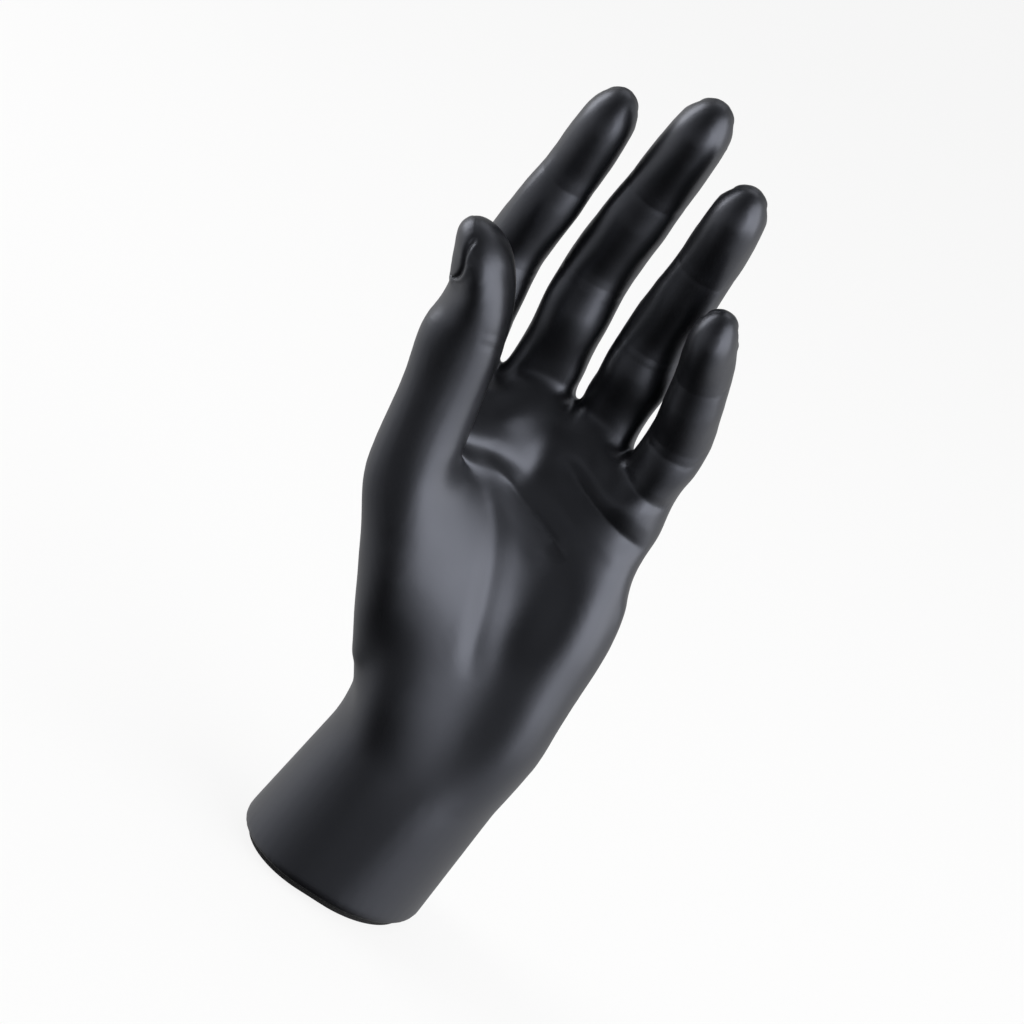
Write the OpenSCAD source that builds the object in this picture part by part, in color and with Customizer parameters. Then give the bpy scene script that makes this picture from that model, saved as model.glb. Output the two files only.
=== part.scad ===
// A left hand that stands on its cut wrist and shows rings, bracelets and gloves.
// +Z is up, the palm faces -Y, the thumb is on the -X side, and the origin is the
// middle of the pad's underside. The hand is a hollow moulded shell. A ring bonded in
// its mouth takes the screws of a cap, and the cap carries a steel weight.

/* [Foot and forearm] */
// Width of the foot across the palm
foot_w = 49.8; // [48:0.2:56]
// Depth of the foot from palm side to back
foot_d = 43; // [41.5:0.5:46]
// Radius that rounds the foot's rim
rim_r = 2.2; // [1:0.1:2.6]
// Wall of the moulded shell
wall = 3.2; // [2.8:0.1:3.8]
// Width of the edge that the bonded ring seats on
seat_w = 1.2; // [0.6:0.1:2]
// Width of the wrist
wrist_w = 46; // [42:0.5:50]
// Depth of the wrist
wrist_d = 36; // [34:0.5:40]
// Middle of the wrist, from the foot's middle to the little finger's side
wrist_x = 4.9; // [3:0.1:7]
// Middle of the wrist, from the foot's middle to the back of the hand
wrist_y = 1; // [-1:0.5:3]
// Height of the wrist's narrowest place
wrist_z = 42; // [38:1:46]

/* [Palm] */
// Middle of the row of four bones where the palm starts, across the hand
carpus_x = 3.5; // [2:0.1:5]
// Step from one of those bones to the next
carpus_step = 4.3; // [3:0.1:5.5]
// Middle of that row towards the back of the hand
carpus_y = 3; // [1:0.5:4]
// Height of that row
carpus_z = 53; // [50:1:56]
// Radius of the flesh round those bones at the wrist end
carpus_r = 13; // [11:0.5:15]
// Radius of the pad of flesh below each finger, index side first
pad_r = [9.7, 9.7, 9.4, 9.2]; // [8.5:0.1:10.5]
// How far those pads lie in front of the knuckles, on the palm's side
pad_forward = 3.8; // [2:0.1:5]
// How far those pads rise above the knuckles
pad_rise = 12.5; // [10:0.5:14]
// Ball of the thumb at its lower end, across the hand
thenar_low_x = 1; // [-2:0.5:4]
// Ball of the thumb at its upper end, across the hand
thenar_high_x = -19; // [-22:0.5:-16]
// Ball of the thumb at its upper end, towards the back
thenar_high_y = -5; // [-8:0.5:-2]
// Height of its upper end
thenar_high_z = 100; // [94:1:104]
// Radius of the ball of the thumb at its lower end
thenar_low_r = 12.5; // [10:0.5:15]
// Radius of the ball of the thumb at its upper end
thenar_high_r = 8.5; // [7:0.5:11]
// Flesh that carries the thumb's first bone, across the hand at its lower end
root_low_x = -8; // [-11:0.5:-5]
// The same flesh at its upper end
root_high_x = -26; // [-29:0.5:-23]
// The same flesh towards the back
root_y = -3; // [-6:0.5:0]
// Height of its upper end
root_high_z = 94; // [88:1:100]
// Radius of that flesh at its lower end
root_low_r = 12.5; // [10:0.5:15]
// Radius of that flesh at its upper end
root_high_r = 10; // [8:0.5:12]
// Heel of the hand at its lower end, across the hand
heel_low_x = 13.8; // [11:0.2:16]
// Heel of the hand at its lower end, towards the back
heel_low_y = -1; // [-3:0.5:1]
// Height of its lower end
heel_low_z = 58; // [54:1:62]
// Heel of the hand at its upper end, across the hand
heel_high_x = 17.6; // [15:0.2:20]
// Heel of the hand at its upper end, towards the back
heel_high_y = 2.5; // [0:0.5:5]
// Height of its upper end
heel_high_z = 97; // [90:1:102]
// Radius of the heel at its lower end
heel_low_r = 16.2; // [12:0.2:17]
// Radius of the heel at its upper end
heel_high_r = 9.8; // [8:0.1:12]
// How high the hollow reaches inside the palm
hollow_top = 96; // [70:1:100]
// How far apart two masses of flesh start to flow together
flow = 8; // [5:0.5:12]
// Radius of the webs between the fingers
web_r = 4; // [2.5:0.5:5]
// Half the thickness of the fold between the thumb and the palm
fold_r = 6; // [4:0.5:8]

/* [Index finger] */
// Middle of the knuckle across the hand
index_x = -36.6; // [-38.6:0.1:-34.6]
// Middle of the knuckle towards the back of the hand
index_y = 15; // [12:0.5:17]
// Height of the knuckle
index_z = 111; // [108:0.5:114]
// From the knuckle's middle to the tip
index_len = 98; // [86:0.5:108]
// Width at the middle joint
index_w = 15; // [13:0.2:17]
// Lean of the three bones towards the palm, in degrees
index_bend_angles = [0, 8, 14]; // [-4:0.5:30]
// Lean of the three bones towards the little finger's side, in degrees
index_side_angles = [-7.5, 6.5, 3]; // [-14:0.1:8]

/* [Middle finger] */
// Middle of the knuckle across the hand
middle_x = -18.7; // [-20.7:0.1:-16.7]
// Middle of the knuckle towards the back of the hand
middle_y = 15.5; // [12.5:0.5:17.5]
// Height of the knuckle
middle_z = 115; // [112:0.5:118]
// From the knuckle's middle to the tip
middle_len = 107; // [94:0.5:118]
// Width at the middle joint
middle_w = 16.2; // [14:0.2:18]
// Lean of the three bones towards the palm, in degrees
middle_bend_angles = [2, 14, 22]; // [-4:0.5:30]
// Lean of the three bones towards the little finger's side, in degrees
middle_side_angles = [-4.3, 5, 4.4]; // [-14:0.1:8]

/* [Ring finger] */
// Middle of the knuckle across the hand
ring_x = -0.65; // [-2.65:0.05:1.35]
// Middle of the knuckle towards the back of the hand
ring_y = 14; // [11:0.5:16]
// Height of the knuckle
ring_z = 114; // [111:0.5:117]
// From the knuckle's middle to the tip
ring_len = 97.5; // [86:0.5:108]
// Width at the middle joint
ring_w = 15.4; // [13:0.2:17]
// Lean of the three bones towards the palm, in degrees
ring_bend_angles = [6, 18, 26]; // [-4:0.5:30]
// Lean of the three bones towards the little finger's side, in degrees
ring_side_angles = [-2, 3, -1]; // [-14:0.1:8]

/* [Little finger] */
// Middle of the knuckle across the hand
little_x = 13.9; // [11.9:0.1:15.9]
// Middle of the knuckle towards the back of the hand
little_y = 10.5; // [7.5:0.5:12.5]
// Height of the knuckle
little_z = 108; // [105:0.5:111]
// From the knuckle's middle to the tip
little_len = 78; // [68:0.5:88]
// Width at the middle joint
little_w = 14.6; // [12:0.2:16]
// Lean of the three bones towards the palm, in degrees
little_bend_angles = [12, 24, 28]; // [-4:0.5:30]
// Lean of the three bones towards the little finger's side, in degrees
little_side_angles = [2.5, -10, -13]; // [-14:0.1:8]

/* [Thumb] */
// Middle of the joint at the wrist, across the hand
thumb_x = -10.5; // [-13:0.5:-8]
// Middle of that joint towards the back of the hand
thumb_y = -4; // [-7:0.5:-1]
// Height of that joint
thumb_z = 56; // [52:1:60]
// From that joint's middle to the tip
thumb_len = 122.2; // [110:0.1:130]
// Width at the last joint
thumb_w = 19; // [16:0.5:22]
// Turn of the nail from the back of the hand towards the thumb's side, in degrees
thumb_turn_angle = 112; // [95:1:125]
// Lean of the three bones towards the thumb's own pad, in degrees
thumb_bend_angles = [-25.5, -7.5, -31]; // [-36:0.5:0]
// Lean of the three bones towards the palm, in degrees
thumb_side_angles = [5, 0, -3]; // [-6:0.5:8]

/* [Weighted foot] */
// Soft pad under the foot
pad_t = 1.5; // [1:0.1:3]
// How far the pad stays inside the flat of the foot's rim
pad_inset = 0.5; // [0.2:0.1:0.9]
// Thickness of the cap that closes the mouth
cap_t = 4; // [3.5:0.1:6]
// Height of the ring bonded inside the mouth
ring_h = 9; // [6.5:0.5:14]
// Gap round the cap in the mouth
cap_gap = 0.3; // [0.2:0.05:0.6]
// Film of adhesive round the bonded ring
glue_gap = 0.1; // [0.05:0.05:0.3]
// Radius of the steel weight
weight_r = 11.5; // [9:0.5:12]
// Height of the steel weight
weight_h = 30; // [20:1:34]
// Gap between the weight and the bonded ring
weight_gap = 1; // [0.5:0.1:2]

/* [Fasteners] */
// Shank radius of the bolt through the weight
bolt_r = 3; // [2.5:0.5:4]
// Head radius of the countersunk bolt
bolt_head_r = 5.6; // [5:0.1:7]
// Height of the countersunk bolt head
bolt_head_h = 3; // [2.5:0.1:3.4]
// Gap round the bolt in its hole
bolt_gap = 0.25; // [0.1:0.05:0.5]
// Radius of the washer above the weight
washer_r = 6; // [5:0.5:8]
// Thickness of that washer
washer_t = 1.6; // [1:0.1:2]
// Width across the flats of the nut
nut_af = 10; // [9:0.5:13]
// Height of the nut
nut_h = 5; // [4:0.5:7]
// How far the bolt stands out of the nut
bolt_end = 2; // [1:0.5:4]
// Shank radius of the cap screws
screw_r = 1.5; // [1.2:0.1:2]
// Head radius of the cap screws
screw_head_r = 2.8; // [2.4:0.1:3.4]
// Height of the cap screws' countersunk heads
screw_head_h = 1.7; // [1.4:0.1:2]
// Length of the cap screws
screw_len = 10; // [8:0.5:12]
// Half the spacing of the four cap screws across the foot
screw_x = 15; // [13.5:0.25:16]
// Half their spacing along its depth
screw_y = 8; // [7:0.25:9]
// Gap round the screws in the cap
screw_gap = 0.2; // [0.1:0.05:0.4]

/* [Hidden] */

hand_colour = "#2b2c2f";
fibre_colour = "#8a6a48";
plastic_colour = "#1f1f21";
steel_colour = "#a9adb2";
foam_colour = "#121213";

cut = 1;              // overrun of every cut
palm_sides = 48;      // faces round the palm and the forearm
palm_layers = 26;     // rings from the foot to the knuckles
crown_layers = 6;     // rings that close the palm between the fingers
rim_layers = 3;       // rings round the foot's rim
finger_sides = 22;    // faces round a finger
finger_layers = 20;   // rings along a finger
tip_layers = 6;       // rings that close a fingertip
hollow_layers = 12;   // rings up the hollow
halvings = 14;        // halvings of the search for the skin
quarter_angle = 90;
crown_stretch_share = 2.2; // how much wider than deep the palm is at the knuckles

// Along a finger: place, width, then depth to the pad side and to the nail side.
// The place is a share of the length, and the rest are shares of the finger's width.
finger_shares = [
  [0.00, 0.66, 0.34, 0.34],
  [0.06, 1.14, 0.56, 0.57],
  [0.12, 1.22, 0.60, 0.58],
  [0.22, 1.10, 0.60, 0.50],
  [0.34, 1.02, 0.58, 0.45],
  [0.47, 1.04, 0.51, 0.51],
  [0.60, 0.97, 0.52, 0.45],
  [0.735, 0.94, 0.455, 0.465],
  [0.86, 0.88, 0.50, 0.39],
  [1.00, 0.74, 0.40, 0.30]
];
finger_joint_shares = [0.47, 0.74];
thumb_shares = [
  [0.00, 0.70, 0.40, 0.48],
  [0.10, 0.96, 0.50, 0.64],
  [0.24, 1.06, 0.56, 0.64],
  [0.38, 1.10, 0.58, 0.66],
  [0.48, 1.04, 0.55, 0.60],
  [0.62, 0.96, 0.49, 0.59],
  [0.76, 1.00, 0.47, 0.61],
  [0.86, 1.04, 0.50, 0.31],
  [0.93, 0.98, 0.46, 0.26],
  [1.00, 0.84, 0.38, 0.34]
];
thumb_joint_shares = [0.47, 0.78];

// Each finger: its root, length, width, leans, joints, thickness and turn of the nail
FINGERS = [
  [[index_x, index_y, index_z], index_len, index_w, index_bend_angles, index_side_angles,
   finger_joint_shares, finger_shares, 0],
  [[middle_x, middle_y, middle_z], middle_len, middle_w, middle_bend_angles, middle_side_angles,
   finger_joint_shares, finger_shares, 0],
  [[ring_x, ring_y, ring_z], ring_len, ring_w, ring_bend_angles, ring_side_angles,
   finger_joint_shares, finger_shares, 0],
  [[little_x, little_y, little_z], little_len, little_w, little_bend_angles, little_side_angles,
   finger_joint_shares, finger_shares, 0],
  [[thumb_x, thumb_y, thumb_z], thumb_len, thumb_w, thumb_bend_angles, thumb_side_angles,
   thumb_joint_shares, thumb_shares, thumb_turn_angle]
];
KNUCKLES = [for (i = [0:3]) FINGERS[i][0]];
THUMB = FINGERS[4];

nail_shares = [0.855, 0.925];      // middles of a nail's two ends along the finger
nail_size_shares = [0.36, 0.15, 0.28]; // half width, length and thickness of an end
nail_rise_share = 0.02;           // how far the nail stands proud of the finger
web_low_share = 0.03;             // where along the fingers a web starts
web_high_shares = [0.12, 0.15, 0.145]; // where the three webs end
web_reach_share = 0.3;            // how far a web's ends lean to the next finger
fold_thumb_shares = [0.30, 0.53]; // where along the thumb the fold starts and ends
fold_palm_shares = [0.5, 0.86];   // where along the palm it starts and ends
fold_side_share = 0.25;           // its end, from the index finger to the middle finger
bend_reach_share = 0.09;          // half the length over which a joint bends
tip_share = 0.58;                 // length of the rounded tip, of the finger's width

foot_side = foot_w - foot_d;
wrist_side = wrist_w - wrist_d;
foot_at = [0, 0, pad_t];
wrist_at = [wrist_x, wrist_y, wrist_z];
mouth_r = foot_d / 2 - wall;
cap_top = pad_t + cap_t;
ring_top = cap_top + ring_h;
weight_top = cap_top + weight_h;

// Flesh: each mass runs from one point to another with its own radius at each end,
// and the forearm is also spread sideways
PALM_STARTS = [for (i = [0:3]) [carpus_x + (i - 1.5) * carpus_step, carpus_y, carpus_z]];
FLESH = [
  [foot_at, wrist_at, foot_d / 2, wrist_d / 2, foot_side / 2, wrist_side / 2],
  for (i = [0:3])
    [PALM_STARTS[i], KNUCKLES[i] + [0, -pad_forward, pad_rise], carpus_r, pad_r[i], 0, 0],
  [[thenar_low_x, thumb_y, thumb_z], [thenar_high_x, thenar_high_y, thenar_high_z],
   thenar_low_r, thenar_high_r, 0, 0],
  [[root_low_x, root_y, thumb_z], [root_high_x, root_y, root_high_z],
   root_low_r, root_high_r, 0, 0],
  [[heel_low_x, heel_low_y, heel_low_z], [heel_high_x, heel_high_y, heel_high_z],
   heel_low_r, heel_high_r, 0, 0]
];

function clamp(value, low, high) = min(max(value, low), high);
function mix(a, b, share) = a + share * (b - a);
function unit(v) = v / norm(v);
function ease(share) = let (t = clamp(share, 0, 1)) t * t * (3 - 2 * t);

// Distance from p to the skin of one mass of flesh, negative inside
function mass_gap(p, mass) =
  let (run = mass[1] - mass[0],
       share = clamp((p - mass[0]) * run / (run * run), 0, 1),
       off = p - mass[0] - share * run,
       spread = mix(mass[4], mass[5], share),
       near = [off.x - clamp(off.x, -spread, spread), off.y, off.z])
  norm(near) - mix(mass[2], mass[3], share);

// Two distances joined so that the surfaces flow into each other
function joined(a, b) = min(a, b) - pow(max(flow - abs(a - b), 0), 2) / (4 * flow);

function flesh_gap(p, i = 0) =
  i == len(FLESH) - 1 ? mass_gap(p, FLESH[i]) : joined(mass_gap(p, FLESH[i]), flesh_gap(p, i + 1));

// How far along heading the skin lies, less depth, found by halving
function reach(from, heading, depth, low, high, left = halvings) =
  let (middle = (low + high) / 2)
  left == 0 ? middle
  : flesh_gap(from + middle * heading) > -depth ? reach(from, heading, depth, low, middle, left - 1)
  : reach(from, heading, depth, middle, high, left - 1);

// The line inside the palm that the skin is measured from, and how far to look
crown_at = (KNUCKLES[0] + KNUCKLES[1] + KNUCKLES[2] + KNUCKLES[3]) / 4;
reach_limit = norm(KNUCKLES[0] - KNUCKLES[3]) + foot_d;

function spine(z) =
  z < wrist_at.z ? mix(foot_at, wrist_at, (z - foot_at.z) / (wrist_at.z - foot_at.z))
  : mix(wrist_at, crown_at, (z - wrist_at.z) / (crown_at.z - wrist_at.z));

// One ring of skin round the palm or forearm, level, or rising like a dome
function palm_ring(z, depth = 0, rise_angle = 0) =
  let (from = spine(z),
       stretch_share = mix(1, crown_stretch_share, clamp(z / crown_at.z, 0, 1)))
  [for (side = [0:palm_sides - 1])
    let (turn = 360 * side / palm_sides,
         level = [stretch_share * cos(turn), sin(turn), 0] * cos(rise_angle),
         heading = unit(level + [0, 0, sin(rise_angle)]))
    from + heading * reach(from, heading, depth, 0, reach_limit)];

// The foot's rim is a quarter round, the sides follow the flesh, and a dome closes the top
palm_rings = [
  for (i = [0:rim_layers - 1])
    let (turn = quarter_angle * i / rim_layers)
    palm_ring(pad_t + rim_r * (1 - cos(turn)), rim_r * (1 - sin(turn))),
  for (i = [0:palm_layers]) palm_ring(mix(pad_t + rim_r, crown_at.z, i / palm_layers)),
  for (i = [1:crown_layers - 1]) palm_ring(crown_at.z, 0, quarter_angle * i / crown_layers)
];
palm_top = crown_at + [0, 0, reach(crown_at, [0, 0, 1], 0, 0, reach_limit)];

// Value of a column at a place in a table, on a smooth curve through its rows
function slope(table, i, column) =
  let (low = max(i - 1, 0), high = min(i + 1, len(table) - 1))
  (table[high][column] - table[low][column]) / (table[high][0] - table[low][0]);
function curve(table, place, column, i = 0) =
  i < len(table) - 2 && place > table[i + 1][0] ? curve(table, place, column, i + 1)
  : let (run = table[i + 1][0] - table[i][0],
         t = clamp((place - table[i][0]) / run, 0, 1))
    table[i][column] * (1 + 2 * t) * pow(1 - t, 2) + slope(table, i, column) * run * t * pow(1 - t, 2)
    + table[i + 1][column] * (3 - 2 * t) * t * t - slope(table, i + 1, column) * run * (1 - t) * t * t;

// Lean at a place along a finger: each joint passes smoothly from one bone's lean to the next
function lean(place, angles, joints) =
  angles[0]
  + (angles[1] - angles[0]) * ease((place - joints[0] + bend_reach_share) / (2 * bend_reach_share))
  + (angles[2] - angles[1]) * ease((place - joints[1] + bend_reach_share) / (2 * bend_reach_share));

// At each place along finger f: the point, the way to the tip, to the nail and to the side
function frames(f, places) =
  let (back = [-sin(f[7]), cos(f[7]), 0],
       side = [cos(f[7]), sin(f[7]), 0],
       ways = [for (place = places)
         unit([0, 0, 1] + tan(lean(place, f[4], f[5])) * side - tan(lean(place, f[3], f[5])) * back)],
       steps = [for (i = [0:len(places) - 2])
         f[1] * (places[i + 1] - places[i]) * (ways[i] + ways[i + 1]) / 2],
       line = [for (i = 0, p = f[0]; i < len(places); p = i < len(steps) ? p + steps[i] : p, i = i + 1) p])
  [for (i = [0:len(places) - 1])
    let (nail_way = unit(back - (back * ways[i]) * ways[i]))
    [line[i], ways[i], nail_way, cross(ways[i], nail_way)]];

function frame_at(f, place) =
  frames(f, [for (i = [0:finger_layers]) place * i / finger_layers])[finger_layers];

// Rings of a finger from its root to near its tip, then the tip point
function finger_rings(f) =
  let (tip = tip_share * f[2] / f[1],
       places = [for (i = [0:finger_layers]) (1 - tip) * i / finger_layers,
                 for (i = [1:tip_layers]) 1 - tip + tip * sin(quarter_angle * i / tip_layers)],
       sizes = [for (i = [0:finger_layers]) f[2],
                for (i = [1:tip_layers]) f[2] * cos(quarter_angle * i / tip_layers)],
       line = frames(f, places))
  [for (i = [0:len(places) - 2])
    [for (s = [0:finger_sides - 1])
      let (turn = 360 * s / finger_sides)
      line[i][0]
      - sizes[i] * curve(f[6], places[i], 1) / 2 * cos(turn) * line[i][3]
      + sizes[i] * curve(f[6], places[i], sin(turn) > 0 ? 3 : 2) * sin(turn) * line[i][2]],
   [line[len(places) - 1][0]]];

// Closed skin through rings of equal count that end in a single point
module loft(rings) {
  sides = len(rings[0]);
  layers = len(rings) - 1;
  points = [for (ring = rings) each ring];
  faces = [
    [for (s = [0:sides - 1]) s],
    for (i = [0:layers - 2], s = [0:sides - 1])
      let (a = i * sides + s, b = i * sides + (s + 1) % sides)
      each [[a, a + sides, b + sides], [a, b + sides, b]],
    for (s = [0:sides - 1])
      [(layers - 1) * sides + s, layers * sides, (layers - 1) * sides + (s + 1) % sides]
  ];
  polyhedron(points, faces);
}

// Plate with the foot's outline, drawn in from its edge
module foot_plate(z, height, inset) {
  translate([0, 0, z]) linear_extrude(height) {
    for (x = [-foot_side, foot_side] / 2) translate([x, 0]) circle(foot_d / 2 - inset, $fn = 96);
    square([foot_side, foot_d - 2 * inset], center = true);
  }
}

// Hollow inside the palm, narrower than the mouth so that the bonded ring seats on its edge
module hollow() {
  rings = [for (i = [0:hollow_layers])
    palm_ring(mix(ring_top - cut, hollow_top, i / hollow_layers), wall + seat_w)];
  loft(concat(rings, [[spine(hollow_top + wall)]]));
}

// Nail, a long lens that stands a little proud of the fingertip
module nail(f) {
  size = f[2] * nail_size_shares;
  hull()
    for (share = nail_shares) {
      frame = frame_at(f, share);
      at = frame[0] + (f[2] * (curve(f[6], share, 3) + nail_rise_share) - size.z) * frame[2];
      multmatrix([for (k = [0:2]) [frame[3][k], frame[1][k], frame[2][k], at[k]]])
        scale(size / size.x) sphere(size.x, $fn = 20);
    }
}

// Web of skin between a finger and the next one, up to a place along them
module web(i) {
  hull()
    for (share = [web_low_share, web_high_shares[i]]) {
      points = [for (f = [FINGERS[i], FINGERS[i + 1]]) frame_at(f, share)[0]];
      for (reach_share = [web_reach_share, 1 - web_reach_share])
        translate(mix(points[0], points[1], reach_share)) sphere(web_r, $fn = 20);
    }
}

// Fold of skin from the thumb to the palm under the index finger
module thumb_fold() {
  palm_end = mix(KNUCKLES[0], KNUCKLES[1], fold_side_share);
  hull() {
    for (share = fold_thumb_shares)
      translate(frame_at(THUMB, share)[0]) sphere(fold_r, $fn = 20);
    for (share = fold_palm_shares)
      translate(mix(PALM_STARTS[0], palm_end, share)) sphere(fold_r, $fn = 20);
  }
}

module hand_body() {
  color(hand_colour)
    difference() {
      union() {
        loft(concat(palm_rings, [[palm_top]]));
        for (f = FINGERS) {
          loft(finger_rings(f));
          nail(f);
        }
        for (i = [0:2]) web(i);
        thumb_fold();
      }
      hollow();
      foot_plate(pad_t - cut, ring_top - pad_t + cut, wall);
    }
}

module at_screws() {
  for (x = [-screw_x, screw_x], y = [-screw_y, screw_y]) translate([x, y, 0]) children();
}

module mouth_ring() {
  color(fibre_colour)
    difference() {
      foot_plate(cap_top, ring_h, wall + glue_gap);
      translate([0, 0, cap_top - cut]) cylinder(ring_h + 2 * cut, r = weight_r + weight_gap, $fn = 96);
      at_screws()
        translate([0, 0, pad_t]) cylinder(screw_len, r = screw_r, $fn = 32);
    }
}

module base_cap() {
  color(plastic_colour)
    difference() {
      foot_plate(pad_t, cap_t, wall + cap_gap);
      translate([0, 0, pad_t - cut]) cylinder(cap_t + 2 * cut, r = bolt_r + bolt_gap, $fn = 48);
      translate([0, 0, pad_t])
        cylinder(bolt_head_h, r1 = bolt_head_r, r2 = bolt_r, $fn = 48);
      at_screws() {
        translate([0, 0, pad_t - cut]) cylinder(cap_t + 2 * cut, r = screw_r + screw_gap, $fn = 32);
        translate([0, 0, pad_t])
          cylinder(screw_head_h, r1 = screw_head_r, r2 = screw_r, $fn = 32);
      }
    }
}

module cap_screws() {
  color(steel_colour)
    at_screws() {
      translate([0, 0, pad_t]) cylinder(screw_head_h, r1 = screw_head_r, r2 = screw_r, $fn = 32);
      translate([0, 0, pad_t]) cylinder(screw_len, r = screw_r, $fn = 32);
    }
}

module steel_weight() {
  color(steel_colour)
    translate([0, 0, cap_top])
      difference() {
        cylinder(weight_h, r = weight_r, $fn = 96);
        translate([0, 0, -cut]) cylinder(weight_h + 2 * cut, r = bolt_r + bolt_gap, $fn = 48);
      }
}

module weight_bolt() {
  color(steel_colour) {
    translate([0, 0, pad_t]) cylinder(bolt_head_h, r1 = bolt_head_r, r2 = bolt_r, $fn = 48);
    translate([0, 0, pad_t])
      cylinder(cap_t + weight_h + washer_t + nut_h + bolt_end, r = bolt_r, $fn = 48);
  }
}

module weight_washer() {
  color(steel_colour)
    translate([0, 0, weight_top])
      difference() {
        cylinder(washer_t, r = washer_r, $fn = 48);
        translate([0, 0, -cut]) cylinder(washer_t + 2 * cut, r = bolt_r + bolt_gap, $fn = 48);
      }
}

module weight_nut() {
  color(steel_colour)
    translate([0, 0, weight_top + washer_t])
      difference() {
        cylinder(nut_h, r = nut_af / sqrt(3), $fn = 6);
        translate([0, 0, -cut]) cylinder(nut_h + 2 * cut, r = bolt_r, $fn = 48);
      }
}

module base_pad() {
  color(foam_colour) foot_plate(0, pad_t, rim_r + pad_inset);
}

hand_body();
mouth_ring();
base_cap();
cap_screws();
steel_weight();
weight_bolt();
weight_washer();
weight_nut();
base_pad();
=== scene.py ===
import math

import bpy
import numpy as np
from mathutils import Matrix, Vector
from mathutils.bvhtree import BVHTree


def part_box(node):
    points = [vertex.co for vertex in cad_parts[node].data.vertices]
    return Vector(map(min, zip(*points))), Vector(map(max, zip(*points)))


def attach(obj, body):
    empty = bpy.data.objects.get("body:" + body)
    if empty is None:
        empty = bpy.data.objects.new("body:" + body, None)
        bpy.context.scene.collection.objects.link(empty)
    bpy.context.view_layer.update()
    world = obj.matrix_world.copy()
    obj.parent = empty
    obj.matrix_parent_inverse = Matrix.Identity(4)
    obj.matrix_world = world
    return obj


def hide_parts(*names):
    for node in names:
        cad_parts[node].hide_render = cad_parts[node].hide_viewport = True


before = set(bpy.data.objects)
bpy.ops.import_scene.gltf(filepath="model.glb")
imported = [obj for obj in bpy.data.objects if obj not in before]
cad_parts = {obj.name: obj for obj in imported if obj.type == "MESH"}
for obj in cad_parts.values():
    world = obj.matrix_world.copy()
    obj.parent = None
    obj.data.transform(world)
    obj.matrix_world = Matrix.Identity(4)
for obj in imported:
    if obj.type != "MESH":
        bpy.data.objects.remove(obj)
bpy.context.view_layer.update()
mm = 0.001


def pick(item):
    bpy.ops.object.select_all(action="DESELECT")
    item.select_set(True)
    bpy.context.view_layer.objects.active = item


def applyModifier(item, kind, **settings):
    pick(item)
    modifier = item.modifiers.new(kind.title(), kind)
    for name, value in settings.items():
        setattr(modifier, name, value)
    bpy.ops.object.modifier_apply(modifier=modifier.name)


def smooth(item, rounds, group):
    applyModifier(item, "SMOOTH", factor=0.5, iterations=rounds, vertex_group=group)


def readPoints(item):      # mm
    co = np.empty(len(item.data.vertices) * 3, np.float32)
    item.data.vertices.foreach_get("co", co)
    return co.reshape(-1, 3).astype(float) / mm


def readNormals(item):
    no = np.empty(len(item.data.vertices) * 3, np.float32)
    item.data.vertex_normals.foreach_get("vector", no)
    return no.reshape(-1, 3).astype(float)


def writePoints(item, co):
    item.data.vertices.foreach_set("co", (co * mm).astype(np.float32).ravel())
    item.data.update()


# Skin: a copy of the moulded hand, remeshed evenly and smoothed where fingers, palm and thumb flow together
skinValues = {
    "merge": 0.001,           # mm, points closer than this become one
    "voxel": 0.8,             # mm between points before the last subdivision
    "crisp": (3, 5),          # mm above the floor where smoothing starts, and over which it comes in
    "blobEdge": 1.7,          # how steeply a blob's weight falls at its edge
    "weightLevels": 16,       # enough, and quick to write
    "facetRounds": 16,        # rounds that take the facets off
    "flowRounds": 130,        # rounds where forms flow together
    "palmRounds": 450,        # rounds on the broad palm
    "swellRounds": 110,       # rounds on the palm once it has its swells
    "flow": [                 # middle x, y, z and radius, mm
        (-38, 8, 118, 17), (-20, 8, 121, 17), (-1, 6, 120, 17), (15, 3, 113, 17),
        (-38, 22, 114, 13), (-20, 22, 118, 13), (-1, 20, 117, 13), (15, 16, 111, 13),
        (-6, -14, 64, 15), (-20, -10, 78, 20), (-27, -6, 92, 20), (-28, -4, 104, 16),
        (8, -6, 58, 24), (8, 8, 56, 26),
        (-40, 12, 182, 10.5), (-20.3, 8, 190, 11), (-1, 2, 181, 10.5), (12.3, -5, 161, 9.5),
        (-42, 15, 156, 11), (-22, 13.5, 163, 11.5), (-2, 9, 158, 11), (15, 2.6, 143, 10),
    ],
    "palm": [
        (-12, -8, 98, 24), (-4, -10, 82, 22), (14, -7, 98, 24), (12, -10, 80, 22),
        (-2, -14, 66, 18), (24, 0, 104, 16), (0, -14, 54, 18), (12, -12, 58, 20),
    ],
    "strokeRounds": 14,       # rounds on the webs, before and after the creases go in
    "triangles": 190000,      # after thinning
}


def weigh(item, name, weight):
    group = item.vertex_groups.new(name=name)
    levels = skinValues["weightLevels"]
    for step in range(1, levels + 1):
        chosen = np.flatnonzero(np.round(weight * levels) == step)
        if len(chosen):
            group.add(chosen.tolist(), step / levels, "REPLACE")


def blobWeight(co, blobs):
    weight = np.zeros(len(co))
    for x, y, z, radius in blobs:
        near = np.linalg.norm(co - (x, y, z), axis=1) / radius
        weight = np.maximum(weight, np.clip(skinValues["blobEdge"] * (1 - near), 0, 1))
    return weight


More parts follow.
